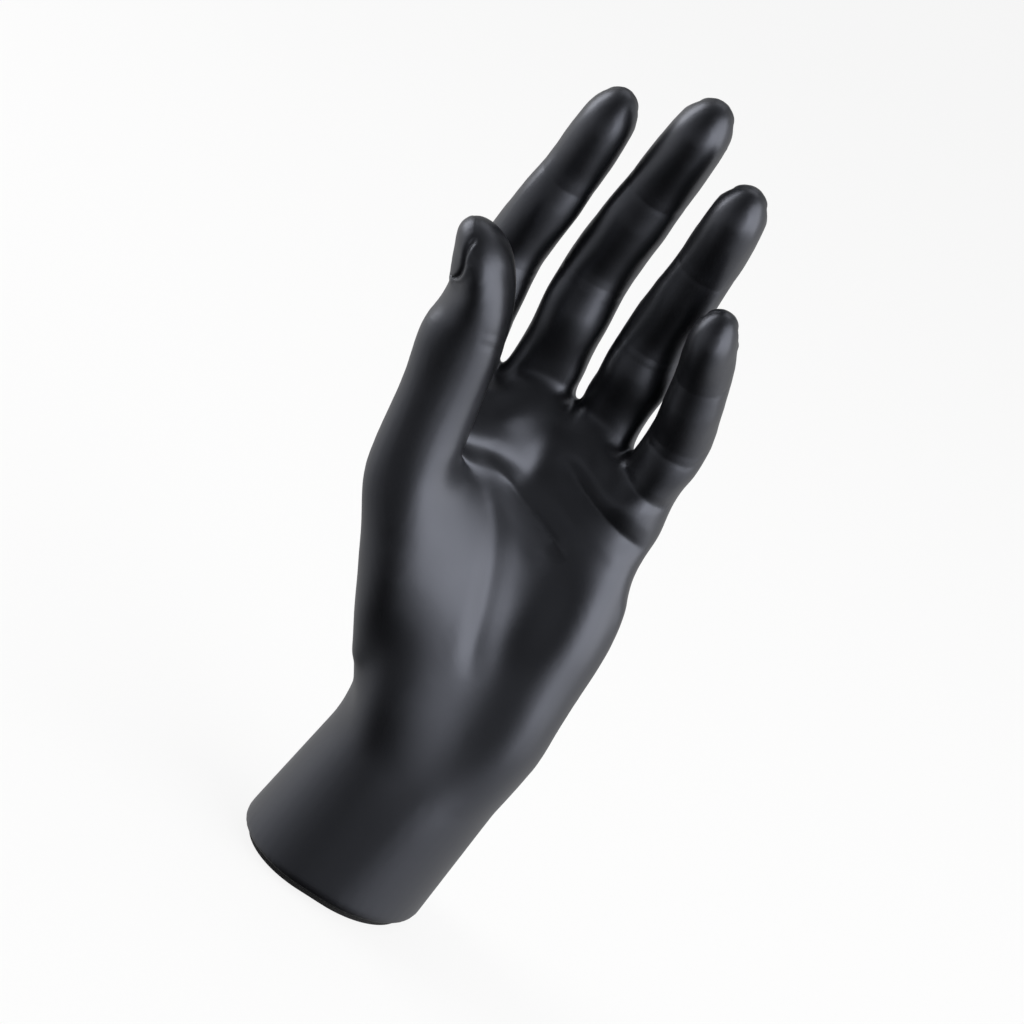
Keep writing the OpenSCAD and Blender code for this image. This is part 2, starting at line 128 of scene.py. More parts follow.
def makeSkin():
    v = skinValues
    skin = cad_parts["hand_body"].copy()
    skin.data = skin.data.copy()
    skin.name = "hand_skin"
    skin.parent = None
    bpy.context.collection.objects.link(skin)
    pick(skin)
    bpy.ops.object.mode_set(mode="EDIT")
    bpy.ops.mesh.select_all(action="SELECT")
    bpy.ops.mesh.remove_doubles(threshold=v["merge"] * mm)
    bpy.ops.object.mode_set(mode="OBJECT")
    applyModifier(skin, "REMESH", mode="VOXEL", voxel_size=v["voxel"] * mm)
    co = readPoints(skin)
    start, span = v["crisp"]
    above = np.clip((co[:, 2] - start) / span, 0, 1)      # the foot's rim and mouth stay crisp
    weigh(skin, "flow", blobWeight(co, v["flow"]) * above)
    weigh(skin, "palm", blobWeight(co, v["palm"]) * (co[:, 1] < 0))
    weigh(skin, "facets", above)
    smooth(skin, v["palmRounds"], "palm")
    swellAll(skin, swells)
    smooth(skin, v["swellRounds"], "palm")
    smooth(skin, v["flowRounds"], "flow")
    smooth(skin, v["facetRounds"], "facets")
    fillWeb(skin)
    swellAll(skin, lateSwells)
    smooth(skin, v["strokeRounds"], "flow")
    applyModifier(skin, "SUBSURF", levels=1, render_levels=1)
    print("skin:", len(skin.data.vertices), "points")
    return skin


# Sculpting: swells and strokes on the skin, in mm
swells = [      # middle, size along x y z, and a push, or a swell along the skin's own normal
    # palm
    {"at": (4, 0, 129), "size": (7, 7, 5.5), "push": (0, -2.8, -0.4)},
    {"at": (13, -2, 123.5), "size": (6, 7, 4), "push": (0, -1.8, -0.4)},
    {"at": (27, 2, 103), "size": (5, 12, 6), "push": (-1.0, 0, 0)},          # edge of the hand
    {"at": (25, 4, 117), "size": (5, 11, 9), "push": (2.3, 0, 0)},
    {"at": (23, 2, 140), "size": (4, 9, 9), "push": (0.9, 0, 0)},
    {"at": (28, 2, 86), "size": (6, 12, 14), "push": (1.0, 0, 0)},
    {"at": (-41, -12, 101), "size": (5, 9, 8), "push": (-0.6, 0, 0)},        # thumb's own knuckle
    {"at": (-40, -14, 86), "size": (6, 10, 10), "push": (0.6, 0, 0)},
    {"at": (-48, -14, 120), "size": (5, 9, 14), "push": (0.5, 0, 0)},
    {"at": (-20, -7, 47), "size": (4, 9, 4), "push": (0.7, 0.2, 0)},         # pinch at the wrist
    {"at": (-21, -8, 56), "size": (4, 9, 5), "push": (-1.5, 0, 0)},
    {"at": (6, 4, 148), "size": (3, 8, 10), "push": (1.9, 0, 0)},            # ring and little finger stand close
    {"at": (8.5, 2, 148), "size": (2.5, 8, 10), "push": (-0.8, 0, 0)},
    {"at": (15, -12, 172), "size": (5, 8, 10), "push": (-1.4, 0, 0)},
    {"at": (-26, -17, 92), "size": (8, 9, 16), "push": (0, -1.7, 0)},        # crest of the thumb's ball
    {"at": (-24, -15, 76), "size": (8, 9, 10), "push": (0, -1.5, 0)},
    {"at": (-20, -15, 84), "size": (8, 9, 12), "push": (0, -1.2, 0)},
    {"at": (-13, -10, 106), "size": (7, 9, 6), "push": (0, 1.0, 0)},         # its slope
    {"at": (-12, -15, 58), "size": (9, 9, 18), "push": (0, -2.4, 0)},
    {"at": (10, -15, 58), "size": (9, 9, 16), "push": (0, 4.2, 0)},
    {"at": (1, -14, 76), "size": (5, 9, 9), "push": (0, -0.9, 0)},
    {"at": (2, -11, 82), "size": (8, 9, 10), "push": (0, 1.0, 0)},
    {"at": (9, -9, 88), "size": (7, 9, 12), "push": (0, 2.2, 0)},            # hollow of the palm
    {"at": (-4, -8, 100), "size": (8, 9, 8), "push": (0, -1.0, 0)},
    {"at": (20, -6, 90), "size": (8, 9, 20), "swell": 1.0},                  # heel under the little finger
    {"at": (-38, 6, 137), "size": (8, 6, 9), "push": (0, 2.4, 0)},           # fingers' roots, drawn back
    {"at": (-20, 5, 139), "size": (8, 6, 9), "push": (0, 3.2, 0)},
    {"at": (-1.5, 3, 138), "size": (8, 6, 9), "push": (0, 3.0, 0)},
    {"at": (11, 0, 131), "size": (5, 6, 7), "push": (0, 1.8, 0)},
    {"at": (-29.6, 9, 133), "size": (3, 9, 3.6), "push": (0, 0, -4.2)},      # web of index and middle, lower
    # back
    {"at": (-37, 22, 113), "size": (6, 6, 7), "swell": 1.5},                 # knuckles
    {"at": (-19, 23, 117), "size": (6, 6, 7), "swell": 1.6},
    {"at": (-1, 22, 116), "size": (6, 6, 7), "swell": 1.4},
    {"at": (14, 18, 110), "size": (6, 6, 6), "swell": 1.2},
    {"at": (-28, 24, 117), "size": (2.6, 6, 6), "swell": -0.9},              # dips between them
    {"at": (-10, 24, 118), "size": (2.6, 6, 6), "swell": -0.9},
    {"at": (7, 21, 115), "size": (2.6, 6, 6), "swell": -0.9},
    {"at": (16, 14, 50), "size": (6, 7, 7), "swell": 1.3},                   # end of the ulna
]

lateSwells = [  # the same, but after the smoothing
    {"at": (-22.5, 2, 127), "size": (4.6, 7, 4.2), "push": (0, -1.7, 0)},     # pads under the fingers
    {"at": (-8, 2, 129), "size": (5, 6, 4), "push": (0, -0.7, 0)},
]

swellReach = 2.4      # times its size, where a swell has faded out

webValues = {   # the corner between thumb and palm, filled to an even slope; mm
    "at": (-20, -4.6, 118.5),       # a point on the slope
    "slope": (0.55, 0.28),          # across and up
    "tall": 6.5,                    # how far up and down it fades out
    "soft": 1.2,                    # how softly it meets the skin
    "box": (14, 16),                # how far it reaches across and up
    "front": 6,                     # only points in front of this y
    "facing": 0.3,                  # and none that face further back than this
    "edge": (6, 4),                 # where it ends towards the fingers, and how softly
}

# side -1 is the palm and 1 the back; points x, z; half width; depth, where less than 0 is a ridge; lip as its share
strokes = [
    # palm
    {"side": -1, "line": [(-25, 119), (-20, 114.9), (-12.8, 112.9), (-6.8, 110.5), (-3, 109.3), (2.5, 107.3),
                          (9, 104.6)], "wide": 2.6, "deep": 0.6, "lip": 0.4},
    {"side": -1, "line": [(-17, 114), (-12.8, 112.9), (-6.8, 110.5), (-3, 109.3), (2.5, 107.3), (9, 104.6)],
     "wide": 0.8, "deep": 0.28, "lip": 0.1},
    {"side": -1, "line": [(23.5, 114.6), (16, 116.6), (11, 117.6), (4, 119.8), (-1, 122), (-7, 124.5)],
     "wide": 2.6, "deep": 0.8, "lip": 0.4},
    {"side": -1, "line": [(23.5, 115.2), (16, 117.1), (11, 118), (4, 120), (-1, 122)],
     "wide": 0.8, "deep": 0.25, "lip": 0.1},
    {"side": -1, "line": [(8, 130.5), (10.5, 128.4), (14.5, 127.6), (19, 127.3), (24, 127)],
     "wide": 1.6, "deep": 0.5, "lip": 0.12},
    {"side": -1, "line": [(-29, 131), (-24, 135), (-18, 136.5), (-11, 136), (-4, 135), (3, 133.5), (8, 130.5)],
     "wide": 2.6, "deep": 0.7, "lip": 0},
    {"side": -1, "line": [(-23, 112), (-15.5, 108.5), (-10, 102.5), (-5.8, 95), (-2.4, 86), (1, 76), (5, 68)],
     "wide": 2.2, "deep": 0.35, "lip": 0.2},
    # tendons on the back
    {"side": 1, "line": [(-36.5, 107), (-30, 92), (-20, 74), (-12, 60)], "wide": 1.8, "deep": -0.55, "lip": 0.15},
    {"side": 1, "line": [(-18.8, 111), (-15.5, 95), (-11, 76), (-7, 60)], "wide": 1.8, "deep": -0.6, "lip": 0.15},
    {"side": 1, "line": [(-1, 110), (-2, 95), (-3, 76), (-3, 60)], "wide": 1.8, "deep": -0.55, "lip": 0.15},
    {"side": 1, "line": [(13.6, 105), (9.5, 92), (4.5, 76), (1, 60)], "wide": 1.7, "deep": -0.45, "lip": 0.15},
]

strokeValues = {
    "step": 0.5,      # mm between a stroke's points
    "span": 6,        # mm over which its corners are rounded
    "from": 60,       # mm before the skin from where it is dropped on it
    "reach": 4,       # times its half width, where it has faded out
    "lipAt": 2,       # times its half width, where the raised lip is
    "fade": 2.2,      # how quickly it deepens from its ends
    "ends": 0.01,     # share of its length left out of that at each end
}

# middle line and the way the nail faces there, from the knuckle to the tip; joints, web and nailFrom are shares of
# its length; a pad has its height, its place between two joints and its length as a share of the gap
fingers = {
    "index": {
        "line": [(-36.6, 15, 111), (-38.1, 15, 122.7), (-40.4, 15, 140.1), (-42.2, 14.8, 156.7),
                 (-41.2, 13.2, 169.3), (-39.7, 11.2, 182.8), (-38.9, 7.8, 197.1), (-38.3, 5.2, 207.5)],
        "nail": [(0, 1, 0), (0, 1, 0), (0, 1, 0), (0, 1, .07), (0, .99, .12), (.02, .98, .19), (.01, .97, .24),
                 (.01, .97, .26)],
        "joints": (0.45, 0.72), "web": 0.19, "pads": ((1.5, 0.72, 0.32), (1.3, 0.8, 0.42), (0.5, 0.58, 0.3)),
        "nailWide": 10.2, "nailFrom": 0.865},
    "middle": {
        "line": [(-18.7, 15.5, 115), (-19.7, 15.1, 127.8), (-21.1, 14.4, 147), (-22.2, 13.4, 165.1),
                 (-21.3, 10.4, 178.7), (-20, 6.5, 193.1), (-18.9, .8, 208), (-18, -3.6, 218.9)],
        "nail": [(0, 1, 0), (0, 1, 0), (0, 1, .08), (.01, .98, .14), (.02, .97, .22), (.03, .95, .31),
                 (.03, .93, .37), (.03, .92, .39)],
        "joints": (0.45, 0.72), "web": 0.17, "pads": ((1.6, 0.72, 0.32), (1.4, 0.8, 0.42), (0.5, 0.58, 0.3)),
        "nailWide": 11, "nailFrom": 0.865},
    "ring": {
        "line": [(-.65, 14, 114), (-1.1, 12.8, 125.6), (-1.7, 10.9, 143.1), (-2.1, 8.9, 159.5),
                 (-1.6, 5.3, 171.6), (-1, .8, 184.5), (-1.2, -5.3, 197.8), (-1.3, -10, 207.4)],
        "nail": [(0, .99, .1), (0, .99, .1), (0, .99, .12), (0, .98, .21), (0, .95, .3), (.01, .93, .37),
                 (-.01, .9, .44), (-.01, .9, .45)],
        "joints": (0.44, 0.73), "web": 0.2, "pads": ((1.3, 0.74, 0.3), (1.2, 0.8, 0.42), (0.5, 0.58, 0.3)),
        "nailWide": 10.4, "nailFrom": 0.865},
    "little": {
        "line": [(13.9, 10.5, 108), (14.3, 8.6, 117.1), (14.9, 5.6, 130.9), (15.2, 2.6, 143.8), (13.8, -1.2, 153),
                 (12, -5.7, 162.8), (9.7, -11, 173), (8, -14.9, 180.4)],
        "nail": [(0, .98, .2), (0, .98, .2), (0, .98, .21), (-.02, .95, .31), (-.05, .93, .37), (-.09, .9, .42),
                 (-.1, .89, .45), (-.1, .88, .46)],
        "joints": (0.46, 0.73), "web": 0.26, "pads": ((0.7, 0.65, 0.32), (0.6, 0.7, 0.4), (0.4, 0.58, 0.3)),
        "nailWide": 9, "nailFrom": 0.865},
    "thumb": {
        "line": [(-10.5, -4, 56), (-26.2, -7.2, 89), (-34.4, -9, 107.9), (-37, -9.8, 123.6),
                 (-40.5, -11.3, 145.2), (-44.3, -13.2, 154), (-45.9, -14.1, 157.1), (-48.2, -15.2, 161.3),
                 (-52.1, -17.2, 168.6)],
        "nail": [(-.85, -.4, -.33), (-.88, -.37, -.28), (-.88, -.37, -.28), (-.88, -.36, -.3), (-.88, -.35, -.33),
                 (-.81, -.3, -.51), (-.81, -.3, -.51), (-.8, -.3, -.51), (-.8, -.3, -.51)],
        "joints": (0.77,), "web": 0, "pads": (), "nailWide": 12, "nailFrom": 0.888, "wrinkle": 0.03,
        "knuckle": 0, "fill": 0, "groove": 0.62},
}


def bump(x, size):
    return np.exp(-(x / size) ** 2)


def swellAll(item, chosen):
    co, normal = readPoints(item), readNormals(item)
    moved = co.copy()
    for one in chosen:
        reach = np.array(one["size"]) * swellReach
        near = np.flatnonzero(np.all(np.abs(co - one["at"]) < reach, axis=1))
        weight = np.exp(-(((co[near] - one["at"]) / one["size"]) ** 2).sum(1))[:, None]
        moved[near] += weight * (np.array(one["push"]) if "push" in one else one["swell"] * normal[near])
    writePoints(item, moved)


def fillWeb(item):
    v = webValues
    co, normal = readPoints(item), readNormals(item)
    x, y, z = v["at"]
    inBox = (np.abs(co[:, 0] - x) < v["box"][0]) & (np.abs(co[:, 2] - z) < v["box"][1])
    near = np.flatnonzero(inBox & (co[:, 1] < v["front"]) & (normal[:, 1] < v["facing"]))
    across, up = co[near, 0] - x, co[near, 2] - z
    ramp = y + v["slope"][0] * across + v["slope"][1] * up
    under = np.logaddexp(0, (co[near, 1] - ramp) / v["soft"]) * v["soft"]
    end, endSoft = v["edge"]
    co[near, 1] -= under * bump(up, v["tall"]) * bump(np.maximum(across - end, 0), endSoft)
    writePoints(item, co)


def runAlong(line):      # mm from the line's first point to each of its points
    return np.concatenate([[0], np.cumsum(np.linalg.norm(np.diff(line, axis=0), axis=1))])


def between(at, along, values):      # values given at along, read off at other places
    return np.stack([np.interp(at, along, column) for column in values.T], 1)


def smoothLine(line, step, span):      # dense points every step, averaged over the span
    line = np.array(line, float)
    along = runAlong(line)
    at = np.arange(0, along[-1], step)
    dense = between(at, along, line)
    half = max(1, int(span / step / 2))
    start = 2 * dense[:1] - dense[half:0:-1]
    end = 2 * dense[-1:] - dense[-2:-half - 2:-1]
    padded = np.concatenate([start, dense, end])
    kernel = np.ones(2 * half + 1) / (2 * half + 1)
    return at, np.stack([np.convolve(column, kernel, "valid") for column in padded.T], 1)


def nearest(co, line, stride=6):      # gap to the line and the number of its nearest point
    best = np.full(len(co), np.inf)
    which = np.zeros(len(co), int)
    for i in range(0, len(line), stride):      # first every sixth point, then those round the best one
        gap = ((co - line[i]) ** 2).sum(1)
        closer = gap < best
        best[closer] = gap[closer]
        which[closer] = i
    middle = which.copy()
    for step in range(-stride, stride + 1):
        i = np.clip(middle + step, 0, len(line) - 1)
        gap = ((co - line[i]) ** 2).sum(1)
        closer = gap < best
        best[closer] = gap[closer]
        which[closer] = i[closer]
    return np.sqrt(best), which


def strokeAll(item):
    v = strokeValues
    tree = BVHTree.FromObject(item, bpy.context.evaluated_depsgraph_get())
    co, normal = readPoints(item), readNormals(item)
    moved = co.copy()
    for one in strokes:
        side, wide, deep = one["side"], one["wide"], one["deep"]
        line = []
        for x, z in smoothLine(one["line"], v["step"], v["span"])[1]:
            hit = tree.ray_cast(Vector((x, side * v["from"], z)) * mm, Vector((0, -side, 0)))[0]
            if hit:
                line.append(np.array(hit) / mm)
        line = np.array(line)
        reach = wide * v["reach"]
        chosen = np.flatnonzero(np.all((co > line.min(0) - reach) & (co < line.max(0) + reach), axis=1))
        gap, which = nearest(co[chosen], line)
        share = np.clip(which / (len(line) - 1), v["ends"], 1 - v["ends"])
        fade = np.clip(np.sin(np.pi * share) * v["fade"], 0, 1)
        move = -deep * bump(gap, wide) + deep * one["lip"] * bump(gap - v["lipAt"] * wide, wide)
        moved[chosen] += (move * fade)[:, None] * normal[chosen]
    writePoints(item, moved)


fingerValues = {
    "reach": 13.0,                  # mm round a finger's middle line that belong to it
    "step": 0.5,                    # mm between the line's points
    "span": 7,                      # mm over which its corners are rounded
    "halves": 1.4,                  # how steeply palm's side and back fade out towards the sides
    "fill": 0.3,                    # mm that the smoothing took off and this puts back
    "fillFrom": (0.12, 8),          # share of the length past the web where it starts, and how steeply
    "bend": 1.6,                    # mm that creases curve towards the tip at the sides
    "creases": (((-1.3, 0.11), (1.5, 0.08)), ((0, 0.1),)),      # by joint: mm from it and depth
    "creaseWide": 0.95,             # half width
    "creaseSides": 1.6,             # how far round a crease stays deep
    "wrinkles": ((-4.2, -2.2, 0, 2.1, 4), (-1.4, 0.5)),         # on the back, by joint: mm from it
    "wrinkle": (0.2, 0.14),         # their depth, by joint
    "wrinkleWide": 0.5,             # half width
    "wrinkleLong": (4.2, 0.35),     # mm to each side, and how much less for each mm from the joint
    "sag": 0.04,                    # how much a wrinkle curves away from the joint
    "knuckle": (0.5, 0.3),          # height, by joint
    "knuckleLong": 5,               # half its length
}

nailValues = {  # a groove round the plate, a raised plate, a fold round it and a step at the free edge; mm
    "before": 1.0,                  # the plate starts this much before its place
    "past": 0.3,                    # and runs this far past the middle line's end
    "taper": 0.1,                   # share of its width lost towards the tip
    "round": 0.42,                  # share of its length with a rounded root
    "rootEase": 0.8,                # share of the gap to its side that counts there, for a softer root
    "rootFlat": 0.5,                # half width of the root's straight middle
    "groove": 0.42,                 # depth
    "grooveWide": 0.55,
    "fold": 0.18,                   # height of the skin round the groove
    "foldAt": 1.1,                  # from the plate's edge
    "foldWide": 0.7,
    "plate": 0.16,                  # height
    "plateSoft": 1.4,               # over which it rises from its edge
    "facing": (0.05, 5),            # cosine to the nail's side where it starts, and how steeply
    "tipEnd": (1.06, 12),           # share of the plate's length where it ends, and how steeply
}


def fingerSpace(v):      # a finger's middle line, and at each point the way along it, to the nail and to the side
    at, line = smoothLine(v["line"], fingerValues["step"], fingerValues["span"])
    along = runAlong(np.array(v["line"], float))
    nail = between(at, along, np.array(v["nail"]))
    way = np.gradient(line, axis=0)
    way /= np.linalg.norm(way, axis=1)[:, None]
    nail -= (nail * way).sum(1)[:, None] * way
    nail /= np.linalg.norm(nail, axis=1)[:, None]
    return {"at": at, "line": line, "way": way, "nail": nail, "side": np.cross(way, nail), "length": along[-1]}


def shareOut(co, spaces):      # each point's finger (none: -1) and nearest place on its middle line
    reach = fingerValues["reach"]
    best = np.full(len(co), reach)
    owner = np.full(len(co), -1)
    where = np.zeros(len(co), int)
    for number, space in enumerate(spaces):
        low, high = space["line"].min(0) - reach, space["line"].max(0) + reach
        chosen = np.flatnonzero(np.all((co > low) & (co < high), axis=1))
        gap, which = nearest(co[chosen], space["line"])
        closer = gap < best[chosen]
        best[chosen[closer]] = gap[closer]
        owner[chosen[closer]] = number
        where[chosen[closer]] = which[closer]
    return owner, where


def addPads(move, place, v):      # fullness between the joints, on the palm's side
    f, length = fingerValues, place["length"]
    start, steep = f["fillFrom"]
    move += v.get("fill", f["fill"]) * np.clip((place["along"] / length - v["web"] - start) * steep, 0, 1)
    stops = [v["web"], *v["joints"], 1.0]
    for low, high, (height, middle, wide) in zip(stops, stops[1:], v["pads"]):
        at, span = (low + (high - low) * middle) * length, (high - low) * length
        move += height * bump(place["along"] - at, span * wide) * place["palmSide"]


def addJoint(move, place, v, number):      # creases on the palm's side, wrinkles and a knuckle on the back
    f, across = fingerValues, place["across"]
    past = place["along"] - v["joints"][number] * place["length"]
    bend = f["bend"] * (1 - place["palmSide"])
    for offset, deep in f["creases"][number]:
        sides = np.clip(place["palmSide"] * f["creaseSides"], 0, 1)
        move -= deep * bump(past - offset - bend, f["creaseWide"]) * sides
    wrinkle = v.get("wrinkle", f["wrinkle"][number])
    longest, shorter = f["wrinkleLong"]
    for offset in f["wrinkles"][number]:
        sag = f["sag"] * across ** 2 * np.sign(offset)
        sides = bump(across, longest - shorter * abs(offset)) * place["backSide"]
        move -= wrinkle * bump(past - offset - sag, f["wrinkleWide"]) * sides
    move += v.get("knuckle", f["knuckle"][number]) * bump(past, f["knuckleLong"]) * place["backSide"]


def addNail(move, place, v):
    n = nailValues
    start, end = v["nailFrom"] * place["length"] - n["before"], place["length"] + n["past"]
    before = start - place["along"]
    share = -before / (end - start)
    out = np.abs(place["across"])
    rounding = np.sqrt(np.clip(1 - np.clip(1 - share / n["round"], 0, 1) ** 2, 0, 1))
    fromSide = out - v["nailWide"] / 2 * (1 - n["taper"] * np.clip(share, 0, 1)) * rounding
    fromRoot = np.hypot(np.maximum(before, 0), np.maximum(out - n["rootFlat"], 0))
    gap = np.where(share < 0, fromRoot, np.where(share < n["round"], fromSide * n["rootEase"], fromSide))
    facing = np.clip((np.cos(place["angle"]) - n["facing"][0]) * n["facing"][1], 0, 1)
    face = facing * np.clip((n["tipEnd"][0] - share) * n["tipEnd"][1], 0, 1)
    move -= v.get("groove", n["groove"]) * bump(gap, n["grooveWide"]) * face
    move += n["fold"] * bump(gap - n["foldAt"], n["foldWide"]) * face * (gap > 0)
    move += n["plate"] * np.clip(-gap / n["plateSoft"], 0, 1) * face


def fingerAll(item):
    co, normal = readPoints(item), readNormals(item)
    spaces = [fingerSpace(v) for v in fingers.values()]
    owner, where = shareOut(co, spaces)
    for number, (name, v) in enumerate(fingers.items()):
        space = spaces[number]
        chosen = np.flatnonzero(owner == number)
        i = where[chosen]
        out = co[chosen] - space["line"][i]
        up = (out * space["nail"][i]).sum(1)
        across = (out * space["side"][i]).sum(1)
        angle = np.arctan2(across, up)      # 0 on the nail's side
        place = {
            "along": space["at"][i] + (out * space["way"][i]).sum(1),
            "across": across,
            "angle": angle,
            "palmSide": np.clip(-np.cos(angle) * fingerValues["halves"], 0, 1),
            "backSide": np.clip(np.cos(angle) * fingerValues["halves"], 0, 1),
            "length": space["length"],
        }
        move = np.zeros(len(chosen))
        addPads(move, place, v)
        for joint in range(len(v["joints"])):
            addJoint(move, place, v, joint)
        addNail(move, place, v)
        co[chosen] += move[:, None] * normal[chosen]
        print("finger:", name, len(chosen), "points")
    writePoints(item, co)


skin = makeSkin()
strokeAll(skin)
smooth(skin, skinValues["strokeRounds"], "flow")
fingerAll(skin)
print("sculpting done")

triangles = len(skin.data.polygons) * 2      # four-sided faces until now
applyModifier(skin, "DECIMATE", ratio=skinValues["triangles"] / triangles)
pick(skin)
bpy.ops.object.shade_smooth()
skin.vertex_groups.clear()
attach(skin, "root")
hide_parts("hand_body")
print("skin thinned:", len(skin.data.polygons), "faces")

# Stage: pale floor, soft lamps and the photograph's camera
stageValues = {
    "target": (-8.7, 0, 106.2),     # what the camera looks at, mm
    "distance": 900,                # mm
    "elevation": 20,                # degrees above level
    "roll": 32.5,                   # degrees
    "lens": 131.8,                  # mm
    "sensor": 36,                   # mm
    "floorWide": 8,                 # m
    "floorDrop": 0.3,               # mm under the pad, so that the two don't flicker
    "lamps": [                      # degrees to the right of the front, degrees up, m away, size m, brightness
        {"name": "right_softbox", "turn": 68, "up": 16, "away": 0.9, "size": (1.15, 0.95), "shine": 2.7},
        {"name": "front_softbox", "turn": 38, "up": 3, "away": 0.9, "size": (0.75, 0.6), "shine": 1.05},
        {"name": "left_softbox", "turn": -103, "up": 18, "away": 0.9, "size": (0.5, 0.7), "shine": 4.4},
        {"name": "back_softbox", "turn": 180, "up": 70, "away": 1.1, "size": (0.8, 0.6), "shine": 1.1},
    ],
    "front": [                      # degrees above level and how bright the room in front is there
        (-90, 0.01), (-30, 0.01), (-23, 0.08), (-16, 0.43), (-9, 0.36), (4, 0.1), (50, 0.08), (90, 0.25),
    ],
    "behind": [                     # the same beside and behind the hand, where the pale backdrop stands
        (-90, 0.02), (-65, 0.08), (-48, 0.6), (-30, 0.95), (-12, 0.95), (15, 0.9), (40, 0.6), (90, 0.4),
    ],
    "shares": (0.25, 0.6),          # how far round to the front the backdrop's light comes, left and right
    "farDusk": 0.5,                 # how much dimmer the room is straight behind than beside the hand
    "turnOver": (-1.05, 0.45),      # from front (-1) to back (1), where the one becomes the other
    "backdrop": "#f8f8f8",          # what the camera itself sees round the floor
}


def linear(hexText):
    values = [int(hexText[i:i + 2], 16) / 255 for i in (1, 3, 5)]
    return tuple(c / 12.92 if c <= 0.04045 else ((c + 0.055) / 1.055) ** 2.4 for c in values) + (1,)


def makeCamera():
    v = stageValues
    tilt = math.radians(v["elevation"])
    back = Vector((0, -math.cos(tilt), math.sin(tilt)))
    bpy.ops.object.camera_add()
    camera = bpy.context.object
    camera.rotation_mode = "QUATERNION"
    camera.rotation_quaternion = ((-back).to_track_quat("-Z", "Y")
                                  @ Matrix.Rotation(math.radians(v["roll"]), 3, "Z").to_quaternion())
    camera.location = (Vector(v["target"]) + back * v["distance"]) * mm
    camera.data.lens = v["lens"]
    camera.data.sensor_width = v["sensor"]
    camera.data.clip_start = 0.01
    bpy.context.scene.camera = camera


def makeLamps():
    middle = Vector(stageValues["target"]) * mm
    for one in stageValues["lamps"]:
        turn, up = math.radians(one["turn"]), math.radians(one["up"])
        way = Vector((math.sin(turn) * math.cos(up), -math.cos(turn) * math.cos(up), math.sin(up)))
        bpy.ops.object.light_add(type="AREA", location=middle + way * one["away"])
        lamp = bpy.context.object
        lamp.name = one["name"]
        lamp.data.shape = "RECTANGLE"
        lamp.data.size, lamp.data.size_y = one["size"]
        lamp.data.energy = one["shine"] * math.pi * one["size"][0] * one["size"][1]      # as bright at any size
        lamp.rotation_mode = "QUATERNION"
        lamp.rotation_quaternion = way.to_track_quat("Z", "Y")


makeCamera()
makeLamps()
bpy.ops.mesh.primitive_plane_add(size=stageValues["floorWide"], location=(0, 0, -stageValues["floorDrop"] * mm))
floor = bpy.context.object
floor.name = "floor"
floor.visible_glossy = False      # the gloss shows the room's dim lower half, as the photograph's does


def setInputs(tree, node, inputs):      # socket name or number: a constant, or the output that feeds it
    for name, value in inputs.items():
        if isinstance(value, bpy.types.NodeSocket):
            tree.links.new(value, node.inputs[name])
        else:
            node.inputs[name].default_value = value


def addNode(tree, kind, inputs=None, **settings):
    node = tree.nodes.new(kind)
    for name, value in settings.items():
        setattr(node, name, value)
    setInputs(tree, node, inputs or {})
    return node


def setStops(ramp, stops):      # places from 0 to 1 and their colours
    elements = ramp.color_ramp.elements
    while len(elements) < len(stops):
        elements.new(0.5)
    for element, (place, colour) in zip(elements, stops):
        element.position = place
        element.color = colour


def newMaterial(name):
    material = bpy.data.materials.new(name)
    material.use_nodes = True
    tree = material.node_tree
    return material, tree, tree.nodes["Principled BSDF"], addNode(tree, "ShaderNodeTexCoord").outputs["Object"]


# Sprayed satin resin: even, deep black with a soft broad sheen and a trace of orange peel
satinValues = {
    "dark": "#030304", "light": "#060607", "cloudMm": 30,
    "sheen": "#e9eeff",
    "ior": 1.7,                       # resin has about 1.5; raised to match how strong the sheen is
    "roughness": (0.355, 0.425),
    "peelMm": 1.4, "peelDeepMm": 0.02, "peelStrength": 0.25,
    "speckMm": 0.35, "speckDeepMm": 0.01, "speckStrength": 0.3,      # overspray, drawn coarser so that it shows
}


def satinResin():
    v = satinValues
    material, tree, shader, where = newMaterial("sprayed satin black resin")
    cloud = addNode(tree, "ShaderNodeTexNoise", {"Vector": where, "Scale": 1 / (v["cloudMm"] * mm), "Detail": 4.0})
    tint = addNode(tree, "ShaderNodeMix", {"Factor": cloud.outputs["Fac"], 6: linear(v["dark"]),
                                           7: linear(v["light"])}, data_type="RGBA")
    rough = addNode(tree, "ShaderNodeMapRange", {"Value": cloud.outputs["Fac"], "From Min": 0.3, "From Max": 0.7,
                                                 "To Min": v["roughness"][0], "To Max": v["roughness"][1]})
    peel = addNode(tree, "ShaderNodeTexNoise", {"Vector": where, "Scale": 1 / (v["peelMm"] * mm), "Detail": 1.0})
    speck = addNode(tree, "ShaderNodeTexNoise", {"Vector": where, "Scale": 1 / (v["speckMm"] * mm), "Detail": 2.0})
    coarse = addNode(tree, "ShaderNodeBump", {"Height": peel.outputs["Fac"], "Strength": v["peelStrength"],
                                              "Distance": v["peelDeepMm"] * mm})
    fine = addNode(tree, "ShaderNodeBump", {"Height": speck.outputs["Fac"], "Normal": coarse.outputs["Normal"],
                                            "Strength": v["speckStrength"], "Distance": v["speckDeepMm"] * mm})
    setInputs(tree, shader, {"Base Color": tint.outputs[2], "Roughness": rough.outputs["Result"], "IOR": v["ior"],
                             "Specular Tint": linear(v["sheen"]), "Normal": fine.outputs["Normal"]})
    return material


# Raw fibreboard: dull tan with short matted fibres, as sawn and sanded
boardValues = {
    "dark": "#8f6d47", "light": "#b8956a",
    "fibreMm": 1.6, "lieFlat": 4,      # fibres lie level, this many times longer than thick
    "dustMm": 0.4, "dustShare": 0.4,
    "roughness": (0.78, 0.92),
    "napMm": 0.08, "napStrength": 0.5,
}


